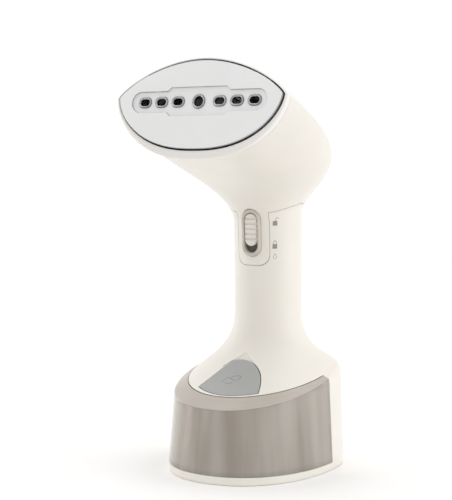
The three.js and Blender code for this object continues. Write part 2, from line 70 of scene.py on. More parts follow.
DISTANCE_ACROSS, DISTANCE_AHEAD, EYE_HEIGHT = 431 * mm, 804 * mm, 215.6 * mm
bpy.ops.object.camera_add(
    location=(DISTANCE_ACROSS, handle_y - DISTANCE_AHEAD, EYE_HEIGHT),
    rotation=(math.radians(90 - 4.0), 0, math.radians(30.1)),
)
camera = bpy.context.object
camera.data.sensor_fit = "VERTICAL"
camera.data.sensor_height = 36
camera.data.lens = 91.1
camera.data.clip_start = 0.05
bpy.context.scene.camera = camera


def linear(hex_code):
    """An sRGB hex colour as the linear colour that a shader takes."""
    parts = [int(hex_code[i:i + 2], 16) / 255 for i in (0, 2, 4)]
    return [*(c / 12.92 if c <= 0.04045 else ((c + 0.055) / 1.055) ** 2.4 for c in parts), 1.0]


def add_node(material, kind, settings=None, links=None):
    """One shader node with its settings, and its inputs linked to other nodes' outputs."""
    made = material.node_tree.nodes.new(kind)
    for key, value in (settings or {}).items():
        if key in made.inputs:
            made.inputs[key].default_value = value
        else:
            setattr(made, key, value)
    for socket, source in (links or {}).items():
        material.node_tree.links.new(source, made.inputs[socket])
    return made


def new_material(name, **sockets):
    """A material whose surface shader has these constants on its own sockets."""
    material = bpy.data.materials.new(name)
    material.use_nodes = True
    surface = material.node_tree.nodes["Principled BSDF"]
    for key, value in sockets.items():
        surface.inputs[key.replace("_", " ")].default_value = value
    return material, surface


def mottled(material, surface, colours, scale, roughness, grain, depth, upright=1):
    """Slow drift between two colours, with a fine grain in the height and the roughness.
    scale is the drift's size and grain the grain's size, both in metres; depth is its height.
    Up the piece, the drift is upright times as long."""
    where = add_node(material, "ShaderNodeTexCoord").outputs["Object"]
    drawn = add_node(material, "ShaderNodeMapping", {"Scale": (1, 1, 1 / upright)}, {"Vector": where})
    drift = add_node(material, "ShaderNodeTexNoise", {"Scale": 1 / scale, "Detail": 3.0},
                     {"Vector": drawn.outputs["Vector"]})
    ramp = add_node(material, "ShaderNodeValToRGB", None, {"Fac": drift.outputs["Fac"]})
    for stop, position, code in zip(ramp.color_ramp.elements, (0.35, 0.65), colours):
        stop.position = position
        stop.color = linear(code)
    fine = add_node(material, "ShaderNodeTexNoise", {"Scale": 1 / grain, "Detail": 2.0}, {"Vector": where})
    rough = add_node(material, "ShaderNodeMapRange", {"To Min": roughness[0], "To Max": roughness[1]},
                     {"Value": fine.outputs["Fac"]})
    bump = add_node(material, "ShaderNodeBump", {"Strength": 0.6, "Distance": depth},
                    {"Height": fine.outputs["Fac"]})
    links = material.node_tree.links
    links.new(ramp.outputs["Color"], surface.inputs["Base Color"])
    links.new(rough.outputs["Result"], surface.inputs["Roughness"])
    links.new(bump.outputs["Normal"], surface.inputs["Normal"])


def select_only(thing):
    bpy.ops.object.select_all(action="DESELECT")
    thing.select_set(True)
    bpy.context.view_layer.objects.active = thing


bpy.ops.object.select_all(action="DESELECT")
FLOOR_SIZE, SHEET_START, SHEET_FULL = 6, 0.2, 0.36  # metres; the sheet's fade is ahead of the handle
bpy.ops.mesh.primitive_plane_add(size=FLOOR_SIZE, location=(0, 0, cad_box[0].z))
floor = bpy.context.object
floor.name = "studio_floor"
floor_paint, floor_surface = new_material("matt studio paper", Roughness=0.9)
mottled(floor_paint, floor_surface, ("FBFAF9", "FDFCFB"), 0.4, (0.85, 0.95), 0.002, 0.00005)
to_front = Vector((camera.location.x, camera.location.y - handle_y, 0)).normalized()
shaded_side = (to_front * 0.8 + to_front.cross(Vector((0, 0, 1))) * 0.6).normalized()
white_paper = floor_surface.inputs["Base Color"].links[0].from_socket
floor_spot = add_node(floor_paint, "ShaderNodeTexCoord").outputs["Object"]
ahead = add_node(floor_paint, "ShaderNodeVectorMath", {"operation": "DOT_PRODUCT"}, {0: floor_spot})
ahead.inputs[1].default_value = shaded_side
fade = add_node(floor_paint, "ShaderNodeMapRange", {"From Min": SHEET_START, "From Max": SHEET_FULL},
                {"Value": ahead.outputs["Value"]})
paper = add_node(floor_paint, "ShaderNodeMix", {"data_type": "RGBA"}, {0: fade.outputs["Result"], 6: white_paper})
# a darker sheet lies in front and keeps light off the undersides
paper.inputs[7].default_value = linear("CBCAC8")
floor_paint.node_tree.links.new(paper.outputs[2], floor_surface.inputs["Base Color"])
floor.data.materials.append(floor_paint)

ROOM_BEHIND, ROOM_IN_FRONT = 1.02, 0.79  # the room is a little darker on the camera's side
world = bpy.data.worlds.new("pale room")
world.use_nodes = True
bpy.context.scene.world = world
direction = add_node(world, "ShaderNodeTexCoord").outputs["Generated"]
toward = add_node(world, "ShaderNodeVectorMath", {"operation": "DOT_PRODUCT"}, {0: direction})
toward.inputs[1].default_value = to_front
strength = add_node(world, "ShaderNodeMapRange",
                    {"interpolation_type": "SMOOTHSTEP", "From Min": -0.1, "From Max": 0.75,
                     "To Min": ROOM_BEHIND, "To Max": ROOM_IN_FRONT}, {"Value": toward.outputs["Value"]})
room = world.node_tree.nodes["Background"]
room.inputs["Color"].default_value = linear("FFFFFF")
world.node_tree.links.new(strength.outputs["Result"], room.inputs["Strength"])
bpy.context.scene.view_settings.view_transform = "Standard"  # a plain white studio sweep stays white

for name, kind, spot, power, size in (
    ("top light", "SUN", (0, 0.1, 1.5), 0.35, math.radians(70)),
    ("right soft box", "AREA", (1.1, 0.2, 0.3), 2.4, 0.8),
    ("left soft box", "AREA", (-0.9, 0.1, 0.3), 0.8, 0.6),
    ("low strip light", "AREA", (-0.88, -0.43, 0.08), 0.3, 0.14),
):
    bpy.ops.object.light_add(type=kind, location=spot)
    lamp = bpy.context.object
    lamp.name = name
    lamp.data.energy = power
    if kind == "SUN":
        lamp.data.angle = size
    else:
        lamp.data.size = size
        aim = Vector((0, handle_y - 0.03, 0.15)) - lamp.location
        lamp.rotation_euler = aim.to_track_quat("-Z", "Y").to_euler()

# ------------------------------------------------------------------------------------------
# The body's skin: one sweep from the floor band up the base, over the shoulder, in to the round
# handle and out again along the horn. The real shells are injection moulded ABS in warm ivory,
# 2.4 mm thick, from a tool with a fine spark finish, so the gloss is soft.
# ------------------------------------------------------------------------------------------
wall = 2.4
gap = 0.3
plate_lean = math.radians(11.6)
plate_up = Vector((math.sin(plate_lean), math.cos(plate_lean)))
plate_out = Vector((-math.cos(plate_lean), math.sin(plate_lean)))
plate_middle = Vector((-96.6, 258.2))
LENS = (1.9, 0.81, 2.38, 0.6)
ROUND = (2, 0.5, 2, 0.5)
SQUARISH = (2.2, 1 / 2.2, 2.2, 1 / 2.2)


def mix(a, b, t):
    """Between two numbers or two equal lists of numbers."""
    if isinstance(a, (tuple, list)):
        return tuple(mix(p, q, t) for p, q in zip(a, b))
    return a + (b - a) * t


def ease(t):
    t = min(1, max(0, t))
    return t * t * (3 - 2 * t)


def bezier(a, b, c, d, t):
    return a * (1 - t) ** 3 + b * (3 * t * (1 - t) ** 2) + c * (3 * t * t * (1 - t)) + d * t ** 3


def place(x, y, z):
    """Millimetres from the handle's foot to metres in the object's frame."""
    return Vector((x * mm, y * mm + handle_y, z * mm))


def on_section(front, back, half, split, form, turn, inset=0):
    """A point of one section of the sweep. front and back are its ends in the YZ plane."""
    axis = back - front
    depth = axis.length
    axis = axis / depth
    reach = abs(math.cos(turn))
    if math.sin(turn) >= 0:
        v = (depth * (1 - split) - inset) * max(0, 1 - reach ** form[0]) ** form[1]
    else:
        v = -(depth * split - inset) * max(0, 1 - reach ** form[2]) ** form[3]
    middle = front + axis * (depth * split)
    return place((half - inset) * math.cos(turn), middle.x + axis.x * v, middle.y + axis.y * v)


# each tilted section: y, z, half width, reach to the front, reach to the back, slope, squareness
FOOT = (-8.3, 0, 58.5, 81, 53.6, 0, 1)
CREST = (-6.9, 65.2, 55.2, 76.6, 51.7, 0.2, 1)
RIM = (-6, 67.6, 50.6, 63.9, 50.0, 0.18, 0)


def on_tilted(station, turn, inset=0):
    y, z, half, front, back, slope, square = station
    return on_section(Vector((y - front, z - slope * front)), Vector((y + back, z + slope * back)), half,
                      front / (front + back), mix(ROUND, SQUARISH, square), turn, inset)


def flare(t):
    """t is 0 at the rim and 1 at the foot of the handle."""
    t = 1 - t
    return (bezier(0, 0, -3, RIM[0], t), bezier(108.5, 83.9, 76.2, RIM[1], t), bezier(24, 24.1, 41.2, RIM[2], t),
            bezier(23.5, 23, 31.6, RIM[3], t), bezier(24, 26.3, 45.8, RIM[4], t), bezier(0, 0, 0.09, 0.18, t), 0)


NECK_FRONT = Vector((-25, 171.5))
NECK_BACK = Vector((24.2, 182.4))
NECK_HALF = 24.3
HEAD_HALF, HEAD_UP, HEAD_DOWN, BEZEL_DEPTH = 63.6, 25.9, 39.9, 8.0
head_front_end = plate_middle - plate_up * HEAD_DOWN - plate_out * (BEZEL_DEPTH + gap)
head_back_end = plate_middle + plate_up * HEAD_UP - plate_out * (BEZEL_DEPTH + gap)


def head_ends(s):
    front = bezier(NECK_FRONT, Vector((-27.1, 192.7)), Vector((-38.5, 201.1)), head_front_end, s)
    back = bezier(NECK_BACK, Vector((21.8, 200.6)), Vector((52.4, 223.9)), head_back_end, s)
    return front, back


def on_head(s, turn, inset=0):
    front, back = head_ends(s)
    split = mix(0.5, HEAD_DOWN / (HEAD_DOWN + HEAD_UP), s)
    return on_section(front, back, bezier(NECK_HALF, 27.1, 76, HEAD_HALF, s), split, mix(ROUND, LENS, ease(s)),
                      turn, inset)


def on_handle(t, turn, inset=0):
    front = Vector((mix(-23.5, NECK_FRONT.x, t ** 3), mix(108.5, NECK_FRONT.y, t)))
    back = Vector((mix(24, NECK_BACK.x, t), mix(108.5, NECK_BACK.y, t)))
    return on_section(front, back, mix(24, NECK_HALF, t), 0.5, ROUND, turn, inset)


SHOULDER = 0.93  # the rounding between the wall and the top starts this far up the wall
BELOW = mix(FOOT, CREST, SHOULDER)
CORNER = (mix(BELOW, CREST, 0.78), CREST, mix(CREST, RIM, 0.14))  # about a millimetre each side of the crest


def curve_through(a, b, c, u):
    """A quadratic curve between lists of numbers."""
    return tuple(p * (1 - u) ** 2 + 2 * q * u * (1 - u) + r * u * u for p, q, r in zip(a, b, c))


def on_wall(t, turn, inset=0):
    """The lower body: t from 0 at the floor band's foot to 1 at the rim. Its edge is crisp in front,
    where it belongs to the tank, and a soft shoulder behind."""
    if t < SHOULDER:
        return on_tilted(mix(FOOT, CREST, t), turn, inset)
    u = (t - SHOULDER) / (1 - SHOULDER)
    if u < 0.4:
        crisp = mix(BELOW, CORNER[0], u / 0.4)
    elif u < 0.7:
        crisp = curve_through(*CORNER, (u - 0.4) / 0.3)
    else:
        crisp = mix(CORNER[2], RIM, (u - 0.7) / 0.3)
    point = on_tilted(crisp, turn, inset)
    behind = ease((point.y - handle_y + 12 * mm) / (14 * mm))
    return point.lerp(on_tilted(curve_through(BELOW, CREST, RIM, u), turn, inset), behind)


def steps(count, first=0.0, last=1.0):
    return [mix(first, last, i / count) for i in range(count + 1)]


def on_flare(t, turn, inset=0):
    return on_tilted(flare(t), turn, inset)


def past_bezel(reach, turn, inset=0):
    """The head's last section, moved on towards the plate by reach millimetres."""
    return on_head(1, turn, inset) + Vector((0, plate_out.x, plate_out.y)) * reach * mm


def wrap(name, count, sides, where):
    """A grid is added and wrapped round so that its first and last column meet: where(row, turn)
    gives each point. Its seam is merged and its open ends are filled."""
    bpy.ops.object.select_all(action="DESELECT")
    bpy.ops.mesh.primitive_grid_add(x_subdivisions=sides, y_subdivisions=count - 1, size=2)
    thing = bpy.context.object
    thing.name = thing.data.name = name
    for vertex in thing.data.vertices:
        column = round((vertex.co.x + 1) / 2 * sides)
        row = round((vertex.co.y + 1) / 2 * (count - 1))
        vertex.co = where(row, 2 * math.pi * (column % sides) / sides)
    bpy.ops.object.mode_set(mode="EDIT")
    bpy.ops.mesh.select_all(action="SELECT")
    bpy.ops.mesh.remove_doubles(threshold=2e-7)
    bpy.ops.mesh.fill_holes(sides=0)
    bpy.ops.mesh.select_all(action="SELECT")
    bpy.ops.mesh.normals_make_consistent(inside=False)
    bpy.ops.object.mode_set(mode="OBJECT")
    return thing


def layers(name, rings, matrix):
    """A solid through flat outlines of equally many points, in millimetres, each with its height."""
    sides = len(rings[0][0])

    def where(row, turn):
        outline, height = rings[row]
        x, y = outline[round(turn / (2 * math.pi) * sides) % sides]
        return matrix @ Vector((x * mm, y * mm, height * mm))

    return wrap(name, len(rings), sides, where)


def prism(name, outline, low, high, matrix):
    return layers(name, [(outline, low), (outline, high)], matrix)


def finish_with(thing, kind, **settings):
    """Adds a modifier with these settings and applies it."""
    modifier = thing.modifiers.new(kind.lower(), kind)
    for key, value in settings.items():
        setattr(modifier, key, value)
    select_only(thing)
    bpy.ops.object.modifier_apply(modifier=modifier.name)


def carve(thing, tool, operation="DIFFERENCE"):
    """Cuts, joins or keeps the common part of two solids, and merges the slivers that this leaves."""
    finish_with(thing, "BOOLEAN", operation=operation, object=tool, solver="EXACT")
    bpy.ops.object.mode_set(mode="EDIT")
    bpy.ops.mesh.select_all(action="SELECT")
    bpy.ops.mesh.remove_doubles(threshold=4e-6)
    bpy.ops.mesh.dissolve_degenerate(threshold=4e-6)
    bpy.ops.object.mode_set(mode="OBJECT")
    bpy.data.objects.remove(tool)


def copy_of(thing, name):
    made = thing.copy()
    made.data = thing.data.copy()
    made.name = made.data.name = name
    bpy.context.collection.objects.link(made)
    return made


def smooth(thing, degrees=35):
    select_only(thing)
    bpy.ops.object.shade_smooth_by_angle(angle=math.radians(degrees))


def stack(y, z, turn):
    """A local frame on the object: +Z leaves the surface, +Y runs up it."""
    return Matrix.Translation(place(0, y, z)) @ Matrix.Rotation(math.radians(turn), 4, "X")


ivory, ivory_surface = new_material("spark-finished ivory ABS", IOR=1.5, Coat_Weight=0.12, Coat_Roughness=0.25,
                                    Subsurface_Weight=0.05, Subsurface_Scale=0.004)
mottled(ivory, ivory_surface, ("E9E4DB", "EDE9E1"), 0.06, (0.36, 0.46), 0.0005, 0.000015)


def sweep(name, rows, sides, inset=0):
    """A closed solid through these sections, each given as (its function, where it is)."""
    return wrap(name, len(rows), sides, lambda row, turn: rows[row][0](rows[row][1], turn, inset))


FLOOR_LIFT = 0.35 / CREST[1]  # the band hides the feet but for this much


def on_band(t, turn, inset=0):
    """The floor band, which draws in towards the floor under the tank's edge."""
    return on_tilted(mix(FOOT, CREST, t), turn, inset + 0.3 + 1.1 * (1 - t / 0.09) ** 2.2)


body = sweep("body_skin", [(on_band, t) for t in (FLOOR_LIFT, 0.012, 0.025, 0.035, 0.05, 0.07, 0.0885)]
             + [(on_wall, t) for t in (0.0895, 0.3, 0.6, 0.85)]
             + [(on_wall, t) for t in steps(14, SHOULDER)]
             + [(on_flare, t) for t in steps(30)[1:]]
             + [(on_handle, t) for t in steps(14)[1:]]
             + [(on_head, s) for s in steps(48)[1:]], 112)
inside = sweep("body_inside", [(on_wall, t) for t in (-0.05, 0.3, 0.6, 0.92)]
               + [(on_flare, t) for t in steps(16, 0.05)]
               + [(on_handle, t) for t in steps(6)[1:]]
               + [(on_head, s) for s in steps(22)[1:]]
               + [(past_bezel, 3)], 96, wall)
carve(body, inside)
smooth(body)

# ------------------------------------------------------------------------------------------
# Head shell. The horn and the tongue that runs down the handle's front are one moulding; the
# tongue's corners are cut at 45 degrees, and a slot in it takes the switch.
# ------------------------------------------------------------------------------------------
switch_place = stack(-24.4, 165.6, 92.6)
SEAM = 0.12


def quad(a, b, c, count=10):
    """Points on a curve that leaves a towards b and reaches c, which is left out."""
    return [curve_through(a, b, c, i / count) for i in range(count)]


def tongue_outline(grow):
    half, low = 12.4 + grow, -23 - grow
    return (quad((half, low + 9), (half, low), (half - 8, low))
            + quad((8 - half, low), (-half, low), (-half, low + 9))
            + [(-half, low + 9), (-half, 40), (half, 40)])


def stadium(width, height, arc=16):
    """A slot-shaped outline, long along Y, with round ends."""
    r, straight = width / 2, height / 2 - width / 2
    top = [(r * math.cos(math.pi * i / arc), straight + r * math.sin(math.pi * i / arc)) for i in range(arc + 1)]
    return top + [(-x, -y) for x, y in top]


def seam_block(name, s):
    """Everything above the neck seam, which bows up at the sides of the neck and falls behind."""
    front, back = head_ends(s)
    middle = (front + back) / 2
    turn = math.degrees(math.atan2(back.y - front.y, back.x - front.x))
    across = Matrix(((0, 0, 1, 0), (1, 0, 0, 0), (0, 1, 0, 0), (0, 0, 0, 1)))
    bow = [(-140, 0.4), (-26, 0.4), (-21, 0.6), (-17, 1.5), (-13, 2.2), (-9, 2.7), (-5, 2.8), (-1, 2.3),
           (3, 1.4), (7, 0.2), (11, -0.9), (15, -2.0), (19, -3.0), (23, -3.8), (27, -4.2), (90, -4.2)]
    return prism(name, bow + [(90, 160), (-140, 160)], -90, 90, stack(middle.x, middle.y, turn) @ across)


head = copy_of(body, "head_moulding")
keep = prism("tongue_tool", tongue_outline(0), -9, 11, switch_place)
carve(keep, seam_block("above_tool", SEAM + 0.006), "UNION")
carve(head, keep, "INTERSECT")
carve(head, prism("slot_tool", stadium(12.6, 32.2), -15, 15, switch_place))
carve(head, prism("collar_tool", stadium(14.6, 34.2), -1.1, 20, switch_place))


def paint(thing, material, node, body_name):
    """The finished piece gets its material and smooth shading, and takes the CAD node's place."""
    thing.data.materials.clear()
    thing.data.materials.append(material)
    smooth(thing)
    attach(thing, body_name)
    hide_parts(node)


plate_place = stack(plate_middle.x, plate_middle.y, 78.4)


def slab(name, low, high, matrix):
    """A block between two corners, in millimetres."""
    (x0, y0, z0), (x1, y1, z1) = low, high
    return prism(name, [(x0, y0), (x1, y0), (x1, y1), (x0, y1)], z0, z1, matrix)


def catch_notch():
    """The slot for a blade where the bezel's lower catch is freed."""
    return slab("catch_tool", (-3.2, -44, -10.2), (3.2, -36.6, -7.0), plate_place)


carve(head, catch_notch())
paint(head, ivory, "head_shell", "housing")

# ------------------------------------------------------------------------------------------
# Handle shell. One ABS moulding from the neck seam down over the flare to the floor band. Its
# front is open for the tank, with a wall behind the tank, a tray under it and a hole for the
# filler flap, above which a thumb scoop is pressed.
# ------------------------------------------------------------------------------------------
SPLIT_Y, BAND_TOP = -12.0, 5.8
POWER_Z, GLAND_Z, VALVE_Z = 150, 17, 20
BUTTON_HOLE, GLAND_HOLE, SPIGOT_HOLE, VALVE_HOLE = 8.8, 7.3, 5.3, 7.2  # radii
foot_place = Matrix.Translation(place(0, 0, 0))
filler_place = stack(-50.6, 67.6, 33.5)


def facing_back(y, z):
    """A local frame whose +Z looks out of the back."""
    return Matrix.Translation(place(0, y, z)) @ Matrix.Rotation(-math.pi / 2, 4, "X")


def circle(radius, sides=48):
    return [(radius * math.cos(2 * math.pi * i / sides), radius * math.sin(2 * math.pi * i / sides))
            for i in range(sides)]


def bay_block(name):
    """The room that the tank fills, up to just above the rim, whose slope its top follows."""
    bay = slab(name, (-80, -110, BAND_TOP), (80, SPLIT_Y, 90), foot_place)
    for vertex in bay.data.vertices:
        if vertex.co.z > 80 * mm:
            y = (vertex.co.y - handle_y) / mm
            vertex.co.z = (RIM[1] + RIM[5] * (y - RIM[0]) + 0.12) * mm
    return bay


def core_part(name, low, high):
    """The part of the body's inside that lies in a block, reaching half-way into the wall."""
    core = sweep(name, [(on_wall, t) for t in steps(5)] + [(on_flare, 0.3)], 64, wall / 2)
    carve(core, slab("core_tool", low, high, foot_place), "INTERSECT")
    return core


def grown(outline, amount):
    """A flat outline moved outwards by amount millimetres. It turns to the left, or is reversed."""
    made = []
    turns_left = sum(a[0] * b[1] - b[0] * a[1] for a, b in zip(outline, outline[1:] + outline[:1])) > 0
    for before, at, after in zip(outline[-1:] + outline[:-1], outline, outline[1:] + outline[:1]):
        edges = [Vector((q[0] - p[0], q[1] - p[1])).normalized() for p, q in ((before, at), (at, after))]
        normal = sum((Vector((e.y, -e.x)) for e in edges), Vector((0, 0))) / 2
        normal = normal / max(normal.length_squared, 0.4) * (1 if turns_left else -1)
        made.append((at[0] + normal.x * amount, at[1] + normal.y * amount))
    return made


flap_outline = (quad((-22.5, -12), (1, -29), (24.5, -12.3), 24) + quad((24.5, -12.3), (20.7, 8), (9.5, 14.6), 18)
                + quad((9.5, 14.6), (0, 19.5), (-9, 15), 12) + quad((-9, 15), (-16, 1.5), (-22.5, -12), 14))


def on_skin(matrix, x, y):
    """Where a line straight down on the local point x, y meets the body's outer skin."""
    start = matrix @ Vector((x * mm, y * mm, 30 * mm))
    _, point, normal, _ = body.ray_cast(start, -(matrix.to_3x3() @ Vector((0, 0, 1))))
    return point, normal


bpy.context.view_layer.update()
scoop_rings = 16


def scoop_point(row, turn):
    """The thumb scoop: widest at the flap, closed at its upper tip, and deepest near the flap."""
    along = row / scoop_rings
    v = mix(10, 23.2, along)
    half = 14.4 * (1 - along) + 0.05
    point, normal = on_skin(filler_place, half * math.cos(turn), v)
    if math.sin(turn) >= 0:
        return point + normal * (0.3 + 2 * math.sin(turn)) * mm
    return point - normal * 1.9 * mm * abs(math.sin(turn)) ** 0.7 * (1 - along) ** 0.6


handle = copy_of(body, "handle_moulding")
cut = prism("tongue_tool", tongue_outline(gap), -9, 11, switch_place)
carve(cut, seam_block("above_tool", SEAM), "UNION")
carve(handle, cut)
carve(handle, bay_block("bay_tool"))
carve(handle, core_part("bay_wall", (-70, SPLIT_Y, BAND_TOP - 3), (70, SPLIT_Y + wall, 64)), "UNION")
carve(handle, core_part("tray", (-70, -95, BAND_TOP - 2), (70, SPLIT_Y + wall, BAND_TOP)), "UNION")
carve(handle, wrap("scoop_tool", scoop_rings + 1, 24, scoop_point))
carve(handle, prism("flap_tool", grown(flap_outline, gap), -15, 15, filler_place))
carve(handle, prism("button_tool", circle(BUTTON_HOLE), -10, 12, facing_back(20, POWER_Z)))
carve(handle, prism("gland_tool", circle(GLAND_HOLE), -10, 20, facing_back(40, GLAND_Z)))
carve(handle, prism("spigot_tool", circle(SPIGOT_HOLE), -3, 7, facing_back(SPLIT_Y, VALVE_Z)))
paint(handle, ivory, "handle_shell", "housing")

# ------------------------------------------------------------------------------------------
# Face bezel. A separate ring of whiter ABS round the plate, snapped on the horn's end. Its outer
# edge is full and soft, and its inner edge stands a little in front of the black heat shield.
# ------------------------------------------------------------------------------------------
PLATE_HALF, PLATE_UP, PLATE_DOWN = 62, 24.1, 35.1


def lens_outline(half, up, down, sides=176):
    """The plate's outline: flat-topped, full below, with pointed ends."""
    made = []
    for i in range(sides):
        turn = 2 * math.pi * i / sides
        reach = abs(math.cos(turn))
        if math.sin(turn) >= 0:
            v = up * max(0, 1 - reach ** LENS[0]) ** LENS[1]
        else:
            v = -down * max(0, 1 - reach ** LENS[2]) ** LENS[3]
        made.append((half * math.cos(turn), v))
    return made


def plate_outline(grow):
    return lens_outline(PLATE_HALF + grow, PLATE_UP + grow, PLATE_DOWN + grow)


bezel_plastic, bezel_surface = new_material("pale moulded ABS", IOR=1.5, Coat_Weight=0.15, Coat_Roughness=0.2)
mottled(bezel_plastic, bezel_surface, ("EEEBE6", "F2EFEB"), 0.05, (0.3, 0.4), 0.0005, 0.00001)

# half width, reach up, reach down and height of each step, round from the horn and back
bezel_profile = [(63.6, 25.9, 39.9, -8), (64.1, 26.15, 40.35, -7), (64.6, 26.4, 40.9, -5.8),
                 (65, 26.6, 41.4, -4.4), (65.05, 26.58, 41.6, -3.4), (64.95, 26.4, 41.5, -2.5),
                 (64.6, 26.1, 40.7, -1.7), (64.0, 25.75, 39.5, -1.15), (63.6, 25.5, 38.6, -0.95),
                 (63.3, 25.25, 37.4, -1.0), (62.95, 25.03, 36.2, -1.4), (62.9, 25.0, 36.0, -1.9),
                 (62.9, 25.0, 36.0, -8), (63.6, 25.9, 39.9, -8)]
bezel = layers("bezel_ring", [(lens_outline(*row[:3]), row[3]) for row in bezel_profile], plate_place)
carve(bezel, catch_notch())
paint(bezel, bezel_plastic, "face_bezel", "housing")

# ------------------------------------------------------------------------------------------
# Soleplate. A pressed metal plate with a satin pale ceramic coating on its face, bare and bright at its edge. Its
# channel's steep wall gets the same darker bare metal as painted shade, a grey line where shade falls in the
# channel. The channel runs through the row of steam holes.
# ------------------------------------------------------------------------------------------
HOLE_ROW = -3.3
HOLE_PLACES = (-41.6, -28.7, -15.8, 0, 15.8, 28.7, 41.6)


def stadium_across(width, height, x=0, y=0, arc=16):
    """A slot-shaped outline, long along X."""
    return [(b + x, a + y) for a, b in stadium(width, height, arc)]


def channel_outline():
    """Narrow past the outer holes, with round ends, and wider between the middle ones."""
    middle, radius = 44.3, 6.7
    turns = [math.pi * (i / 20 - 0.5) for i in range(21)]
    arc = [(middle + radius * math.cos(turn), radius * math.sin(turn)) for turn in turns]
    right = [(20.9, -9.2), (23.6, -radius)] + arc + [(23.6, radius), (20.9, 9.2)]
    return [(x, y + HOLE_ROW) for x, y in right + [(-x, -y) for x, y in right]]


coating, coating_surface = new_material("satin ceramic coating", IOR=1.5, Coat_Weight=0.1, Coat_Roughness=0.3)
mottled(coating, coating_surface, ("F1F1F1", "F4F4F4"), 0.05, (0.34, 0.42), 0.0004, 0.000008)
# grey metal for the plate's bare edge, and painted shade on the channel's walls
bare_edge_and_channel_shade, bare_edge_and_channel_shade_surface = new_material("bare metal edge and painted channel shade", Metallic=1.0)
mottled(bare_edge_and_channel_shade, bare_edge_and_channel_shade_surface, ("B9B9BA", "C6C6C8"), 0.01, (0.16, 0.26), 0.0003, 0.000005)

plate = layers("plate_pressing", [(plate_outline(grow), z) for grow, z in
                                  ((0, -2.6), (0, -0.75), (-0.1, -0.4), (-0.55, -0.03), (-0.8, 0))], plate_place)
# how far each step stands outside the channel's outline, and its height
plate_channel = [(1.2, 1.5), (0.75, 0.02), (0.5, -0.14), (0.1, -1.15), (-0.15, -1.36), (-0.6, -1.42)]
carve(plate, layers("channel_tool", [(grown(channel_outline(), grow), z) for grow, z in plate_channel],
                    plate_place))


def hole_outline(x, inset):
    width, length = (9.4, 9.42) if x == 0 else (7, 9.8)
    return stadium_across(width - 2 * inset, length - 2 * inset, x, HOLE_ROW)


for x in HOLE_PLACES:
    carve(plate, prism("hole_tool", hole_outline(x, -gap), -6, 4, plate_place))
plate.data.materials.append(coating)
plate.data.materials.append(bare_edge_and_channel_shade)
face_out = plate_place.to_3x3() @ Vector((0, 0, 1))
for face in plate.data.polygons:
    middle = plate_place.inverted() @ face.center
    facing = abs(face.normal.dot(face_out))
    on_rim = abs(middle.x) > 52.5 * mm or abs(middle.y) > 15 * mm
    channel_wall_painted_shade = 0.15 < facing < 0.6 and middle.z > -1.3 * mm
    # the rim's sides are the plate's bare edge; the channel's walls take the darker metal as painted shade
    if facing < 0.9 and on_rim or channel_wall_painted_shade:
        face.material_index = 1
smooth(plate, 30)
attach(plate, "housing")
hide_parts("soleplate")

# ------------------------------------------------------------------------------------------
# Steam eyelets. Seven pressed stainless rings, oval but for the round one in the middle, each
# with a bevelled bright rim that stands above the channel's floor.
# ------------------------------------------------------------------------------------------
pressed_steel, pressed_surface = new_material("bright pressed stainless steel", Metallic=1.0)
mottled(pressed_steel, pressed_surface, ("A9AAAC", "BFC0C2"), 0.004, (0.14, 0.26), 0.0002, 0.000004)
eyelet_profile = [(0, -2.9), (0, -0.75), (0.18, -0.45), (0.5, -0.32), (0.85, -0.45), (1.3, -0.95), (1.5, -1.4),
                  (1.5, -2.9), (0, -2.9)]
for i, x in enumerate(HOLE_PLACES):
    eyelet = layers(f"eyelet_{i + 1}", [(hole_outline(x, inset), z) for inset, z in eyelet_profile], plate_place)
    paint(eyelet, pressed_steel, f"steam_eyelet_{i + 1}", "housing")

# ------------------------------------------------------------------------------------------
# Switch. A beige collar is set in the tongue; in its slot a dark trigger plate is pressed for
# steam, and the ribbed slide on it locks it. All are moulded ABS.
# ------------------------------------------------------------------------------------------
warm_grey, warm_surface = new_material("beige-grey satin ABS", IOR=1.5)
mottled(warm_grey, warm_surface, ("C6C0B5", "CCC6BC"), 0.02, (0.4, 0.5), 0.0005, 0.00001)
slide_plastic, slide_surface = new_material("pale beige satin ABS", IOR=1.5)
mottled(slide_plastic, slide_surface, ("E2DED6", "E8E4DD"), 0.02, (0.42, 0.52), 0.0005, 0.00001)

collar_profile = [(14, 33.6, -0.9), (14, 33.6, 1.1), (13.85, 33.45, 1.55), (13.5, 33.1, 1.9), (13, 32.5, 2.08),
                  (12.2, 31.2, 2.1), (11.5, 29.8, 2.05), (10.9, 28.9, 1.8), (10.5, 28.35, 1.35), (10.4, 28.2, 0.9),
                  (10.4, 28.2, -4.6), (12, 31.6, -4.6), (12, 31.6, -0.9), (14, 33.6, -0.9)]
collar = layers("switch_collar", [(stadium(w, h, 28), z) for w, h, z in collar_profile], switch_place)
paint(collar, warm_grey, "switch_frame", "housing")

SLOT_LONG, SLIDE_LONG, GROOVES = 28.2, 22.9, 5
slide_top = SLOT_LONG / 2 - 0.5
slide_place = switch_place @ Matrix.Translation((0, (slide_top - SLIDE_LONG / 2) * mm, 0))
slide_profile = [(9.4, SLIDE_LONG, -0.8), (9.4, SLIDE_LONG, 1.1), (9.25, 22.75, 1.45),
                 (8.9, 22.4, 1.7), (8.4, 21.9, 1.8)]
slide = layers("lock_slide", [(stadium(w, h, 24), z) for w, h, z in slide_profile], slide_place)
groove_profile = [(0.7, 0.8), (1.0, 0.9), (1.2, 1.2), (1.3, 1.5), (1.9, 1.85), (1.9, 3)]
for i in range(GROOVES):
    y = SLIDE_LONG / 2 - 3.7 - i * 3.57
    groove = [(stadium_across(width, 13, 0, y, 10), z) for width, z in groove_profile]
    carve(slide, layers("groove_tool", groove, slide_place))
paint(slide, slide_plastic, "lock_slider", "lock")

